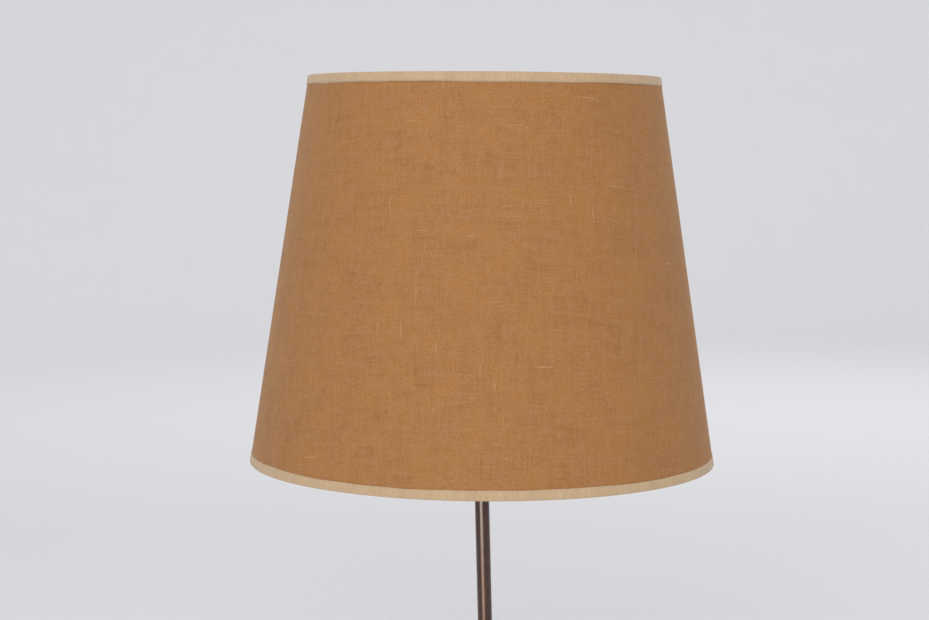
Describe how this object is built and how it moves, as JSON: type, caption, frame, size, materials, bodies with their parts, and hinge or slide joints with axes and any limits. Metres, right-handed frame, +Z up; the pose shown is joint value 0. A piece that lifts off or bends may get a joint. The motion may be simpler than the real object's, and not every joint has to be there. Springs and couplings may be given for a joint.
{
  "type": "table lamp",
  "caption": "Table lamp: round weighted foot, slim upright tube, screw-base lampholder with a rotary switch, and a tapered drum shade in woven cloth with taped rims.",
  "frame": {"origin": "centre of the felt's underside, on the axis of the stem", "axes": "+Z up along the stem; +X towards the switch key, the way the shade leans; +Y towards the cable inlet at the back"},
  "size_m": [0.4013, 0.4016, 0.7363],
  "materials": {
    "felt": "pressed wool felt",
    "cast_iron": "as cast, painted",
    "bronzed_metal": "dark bronze patina, lacquered",
    "black_rubber": "matte",
    "white_plastic": "moulded",
    "black_plastic": "moulded, semi-gloss",
    "brass": "stamped and turned",
    "plated_steel": "zinc plated",
    "white_steel": "white epoxy paint",
    "brown_insulation": "extruded",
    "blue_insulation": "extruded",
    "porcelain": "white glaze",
    "shade_liner": "satin film",
    "shade_cloth": "slubbed linen weave",
    "trim_tape": "folded bias tape",
    "clear_glass": "clear",
    "black_glass": "glossy",
    "nickelled_brass": "nickel plated",
    "tungsten": "drawn wire"
  },
  "bodies": {
    "lamp": {"felt_pad": "felt", "foot_weight": "cast_iron", "foot_cover": "bronzed_metal", "cable_bush": "black_rubber", "terminal_block": "white_plastic", "block_screws": "brass", "foot_nipple": "plated_steel", "foot_washer": "plated_steel", "foot_nut": "plated_steel", "stem_collar": "bronzed_metal", "stem_tube": "bronzed_metal", "live_lead": "brown_insulation", "neutral_lead": "blue_insulation", "stem_ferrule": "bronzed_metal", "top_nipple": "plated_steel", "holder_cap": "bronzed_metal", "cap_grub_screw": "plated_steel", "holder_core": "porcelain", "holder_terminals": "brass", "terminal_screws": "plated_steel", "switch_leaves": "brass", "centre_contact": "brass", "thread_shell": "brass", "holder_skirt": "bronzed_metal"},
    "switch": {"switch_rotor": "black_plastic", "switch_shaft": "brass", "switch_knob": "black_plastic"},
    "lower_ring": {"seat_ring": "black_plastic"},
    "upper_ring": {"retaining_ring": "black_plastic"},
    "shade": {"fitter_ring": "white_steel", "shade_spokes": "white_steel", "bottom_wire": "white_steel", "top_wire": "white_steel", "shade_liner": "shade_liner", "shade_cloth": "shade_cloth", "bottom_trim": "trim_tape", "top_trim": "trim_tape"},
    "bulb": {"bulb_glass": "clear_glass", "bulb_cap": "nickelled_brass", "bulb_insulator": "black_glass", "bulb_contact": "nickelled_brass", "bulb_mount": "clear_glass", "filament_leads": "plated_steel", "filament": "tungsten"}
  },
  "joints": [
    {"name": "switch_turn", "type": "hinge", "parent": "lamp", "child": "switch", "pos_m": [0, 0, 0.389], "axis": [1, 0, 0], "continuous": true},
    {"name": "lower_ring_turn", "type": "hinge", "parent": "lamp", "child": "lower_ring", "pos_m": [0, 0, 0.412], "axis": [0, 0, 1], "range_deg": [-720, 20]},
    {"name": "shade_rock", "type": "hinge", "parent": "lower_ring", "child": "shade", "pos_m": [0.0009, 0, 0.41372], "axis": [0, 1, 0], "range_deg": [-3.6, 0]},
    {"name": "upper_ring_turn", "type": "hinge", "parent": "lamp", "child": "upper_ring", "pos_m": [0, 0, 0.41543], "axis": [0, 0, 1], "range_deg": [-20, 1540]},
    {"name": "bulb_turn", "type": "hinge", "parent": "lamp", "child": "bulb", "pos_m": [0, 0, 0.4085], "axis": [0, 0, 1], "range_deg": [0, 1600]}
  ]
}
